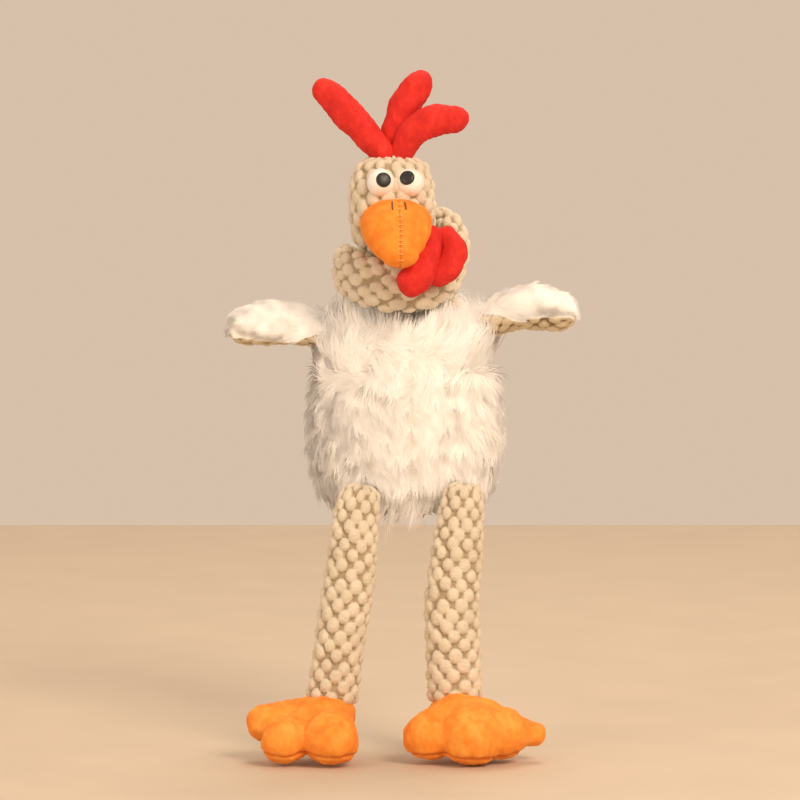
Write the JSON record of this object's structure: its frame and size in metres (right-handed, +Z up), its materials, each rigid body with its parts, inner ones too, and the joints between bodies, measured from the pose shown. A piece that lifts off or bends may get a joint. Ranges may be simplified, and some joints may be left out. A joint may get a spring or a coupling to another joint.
{
  "type": "plush chicken toy",
  "caption": "Stuffed toy chicken that sits with its legs hanging down: white fur body and wings, long neck tied in a knot, bobble-fabric legs, velvet comb, wattle, beak and feet.",
  "frame": {"origin": "middle of the flat seat under the body, where the toy sits on a ledge", "axes": "+Z up, +X towards the viewer's right as the chicken faces the viewer, and the chicken faces -Y"},
  "size_m": [0.1797, 0.1261, 0.3519],
  "materials": {
    "fur": "matte",
    "bobble_fabric": "matte",
    "orange_beak_plush": "matte",
    "orange_foot_plush": "matte",
    "red_plush": "matte",
    "fibre_filling": "matte",
    "eye_white": "gloss",
    "pupil_black": "satin",
    "eye_washer_plastic": "matte",
    "squeaker_plastic": "satin",
    "reed_plastic": "satin"
  },
  "bodies": {
    "body": {"body_front_left_panel": "fur", "body_front_right_panel": "fur", "body_back_panel": "fur", "body_front_stuffing": "fibre_filling", "body_back_stuffing": "fibre_filling", "squeaker_bulb": "squeaker_plastic", "squeaker_reed": "reed_plastic"},
    "neck": {"neck_sleeve": "bobble_fabric", "neck_stuffing": "fibre_filling"},
    "head": {"head_sleeve": "bobble_fabric", "head_stuffing": "fibre_filling", "eye_left": "eye_white", "pupil_left": "pupil_black", "eye_washer_left": "eye_washer_plastic", "eye_right": "eye_white", "pupil_right": "pupil_black", "eye_washer_right": "eye_washer_plastic", "beak_left_panel": "orange_beak_plush", "beak_right_panel": "orange_beak_plush", "beak_stuffing": "fibre_filling"},
    "comb_left": {"comb_left_skin": "red_plush", "comb_left_stuffing": "fibre_filling"},
    "comb_middle": {"comb_middle_skin": "red_plush", "comb_middle_stuffing": "fibre_filling"},
    "comb_right": {"comb_right_skin": "red_plush", "comb_right_stuffing": "fibre_filling"},
    "wattle_front": {"wattle_front_skin": "red_plush", "wattle_front_stuffing": "fibre_filling"},
    "wattle_rear": {"wattle_rear_skin": "red_plush", "wattle_rear_stuffing": "fibre_filling"},
    "wing_left": {"wing_left_fur_panel": "fur", "wing_left_under_panel": "bobble_fabric", "wing_left_stuffing": "fibre_filling"},
    "thigh_left": {"thigh_left_sleeve": "bobble_fabric", "thigh_left_stuffing": "fibre_filling"},
    "shin_left": {"shin_left_sleeve": "bobble_fabric", "shin_left_stuffing": "fibre_filling"},
    "foot_left": {"foot_left_upper_panel": "orange_foot_plush", "foot_left_sole_panel": "orange_foot_plush", "foot_left_stuffing": "fibre_filling"},
    "wing_right": {"wing_right_fur_panel": "fur", "wing_right_under_panel": "bobble_fabric", "wing_right_stuffing": "fibre_filling"},
    "thigh_right": {"thigh_right_sleeve": "bobble_fabric", "thigh_right_stuffing": "fibre_filling"},
    "shin_right": {"shin_right_sleeve": "bobble_fabric", "shin_right_stuffing": "fibre_filling"},
    "foot_right": {"foot_right_upper_panel": "orange_foot_plush", "foot_right_sole_panel": "orange_foot_plush", "foot_right_stuffing": "fibre_filling"}
  },
  "joints": [
    {"name": "neck_lean", "type": "hinge", "parent": "body", "child": "neck", "pos_m": [-0.00208, 0.00778, 0.10559], "axis": [1, 0, 0], "range_deg": [-12, 11], "stiffness_Nm_per_rad": 0.6},
    {"name": "head_nod", "type": "hinge", "parent": "neck", "child": "head", "pos_m": [-0.00508, -0.01322, 0.13659], "axis": [1, 0, 0], "range_deg": [-8, 3], "stiffness_Nm_per_rad": 0.25},
    {"name": "comb_left_flop", "type": "hinge", "parent": "head", "child": "comb_left", "pos_m": [-0.0135, -0.01837, 0.18689], "axis": [0, -1, 0], "range_deg": [-5, 30], "stiffness_Nm_per_rad": 0.02},
    {"name": "comb_middle_flop", "type": "hinge", "parent": "head", "child": "comb_middle", "pos_m": [-0.00648, -0.01042, 0.18687], "axis": [1, 0, 0], "range_deg": [-30, 4], "stiffness_Nm_per_rad": 0.02},
    {"name": "comb_right_flop", "type": "hinge", "parent": "head", "child": "comb_right", "pos_m": [-0.00015, -0.01837, 0.18688], "axis": [0, 1, 0], "range_deg": [-6, 18], "stiffness_Nm_per_rad": 0.02},
    {"name": "wattle_front_swing", "type": "hinge", "parent": "head", "child": "wattle_front", "pos_m": [0.00798, -0.04291, 0.13333], "axis": [-1, 0, 0], "range_deg": [0, 22]},
    {"name": "wattle_rear_swing", "type": "hinge", "parent": "head", "child": "wattle_rear", "pos_m": [0.01677, -0.03732, 0.14356], "axis": [-1, 0, 0], "range_deg": [0, 10]},
    {"name": "wing_left_flap", "type": "hinge", "parent": "body", "child": "wing_left", "pos_m": [-0.04544, 0.00125, 0.09188], "axis": [0, 1, 0], "range_deg": [-45, 60], "stiffness_Nm_per_rad": 0.06},
    {"name": "wing_right_flap", "type": "hinge", "parent": "body", "child": "wing_right", "pos_m": [0.0424, -0.00125, 0.09638], "axis": [0, -1, 0], "range_deg": [-45, 60], "stiffness_Nm_per_rad": 0.06},
    {"name": "hip_left_swing", "type": "hinge", "parent": "body", "child": "thigh_left", "pos_m": [-0.02316, -0.03834, 0.00388], "axis": [-1, 0, 0], "range_deg": [-10, 95], "stiffness_Nm_per_rad": 0.15},
    {"name": "knee_left_bend", "type": "hinge", "parent": "thigh_left", "child": "shin_left", "pos_m": [-0.03096, -0.04435, -0.04514], "axis": [1, 0, 0], "range_deg": [-60, 80], "stiffness_Nm_per_rad": 0.1},
    {"name": "ankle_left_flex", "type": "hinge", "parent": "shin_left", "child": "foot_left", "pos_m": [-0.03778, -0.04798, -0.1006], "axis": [-1, 0, 0], "range_deg": [-45, 10], "stiffness_Nm_per_rad": 0.05},
    {"name": "hip_right_swing", "type": "hinge", "parent": "body", "child": "thigh_right", "pos_m": [0.02926, -0.0358, 0.00469], "axis": [-1, 0, 0], "range_deg": [-10, 95], "stiffness_Nm_per_rad": 0.15},
    {"name": "knee_right_bend", "type": "hinge", "parent": "thigh_right", "child": "shin_right", "pos_m": [0.02422, -0.04185, -0.04469], "axis": [1, 0, 0], "range_deg": [-60, 80], "stiffness_Nm_per_rad": 0.1},
    {"name": "ankle_right_flex", "type": "hinge", "parent": "shin_right", "child": "foot_right", "pos_m": [0.0256, -0.04551, -0.10055], "axis": [-1, 0, 0], "range_deg": [-45, 10], "stiffness_Nm_per_rad": 0.05}
  ]
}
